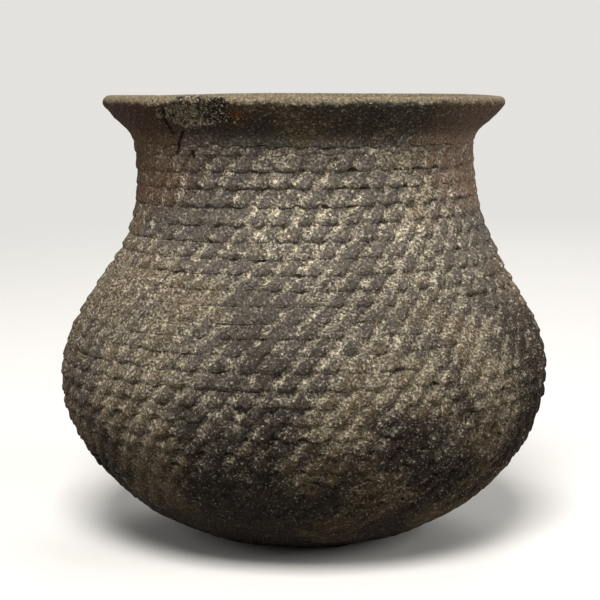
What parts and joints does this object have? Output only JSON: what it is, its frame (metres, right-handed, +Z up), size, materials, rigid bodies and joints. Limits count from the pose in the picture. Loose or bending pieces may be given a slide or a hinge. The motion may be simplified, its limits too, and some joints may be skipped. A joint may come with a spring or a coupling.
{
  "type": "corrugated pottery jar",
  "caption": "Small round-bellied cooking jar of coiled clay with lapped, fingertip-indented corrugations, a smooth neck and a flared rounded lip.",
  "frame": {"origin": "middle of the resting flat under the base, on the jar's own axis", "axes": "+Z up along the jar's axis through the mouth, -Y towards the pictured front, +X to the right of that view"},
  "size_m": [0.1498, 0.1499, 0.135],
  "materials": {
    "base_clay": "smoothed, worn and smoked low-fired clay",
    "rope_clay": "fingertip-pressed low-fired clay",
    "neck_clay": "hand-smoothed, smoked low-fired clay",
    "lip_clay": "finger-wiped, worn low-fired clay"
  },
  "bodies": {
    "root": {"base_disc": "base_clay", "coil_01": "rope_clay", "coil_02": "rope_clay", "coil_03": "rope_clay", "coil_04": "rope_clay", "coil_05": "rope_clay", "coil_06": "rope_clay", "coil_07": "rope_clay", "coil_08": "rope_clay", "coil_09": "rope_clay", "coil_10": "rope_clay", "coil_11": "rope_clay", "coil_12": "rope_clay", "coil_13": "rope_clay", "coil_14": "rope_clay", "coil_15": "rope_clay", "coil_16": "rope_clay", "coil_17": "rope_clay", "coil_18": "rope_clay", "coil_19": "rope_clay", "coil_20": "rope_clay", "coil_21": "rope_clay", "coil_22": "rope_clay", "coil_23": "rope_clay", "coil_24": "rope_clay", "coil_25": "rope_clay", "coil_26": "rope_clay", "coil_27": "rope_clay", "coil_28": "rope_clay", "coil_29": "rope_clay", "coil_30": "rope_clay", "coil_31": "rope_clay", "coil_32": "rope_clay", "coil_33": "rope_clay", "neck_band": "neck_clay", "rim_lip": "lip_clay"}
  },
  "joints": []
}
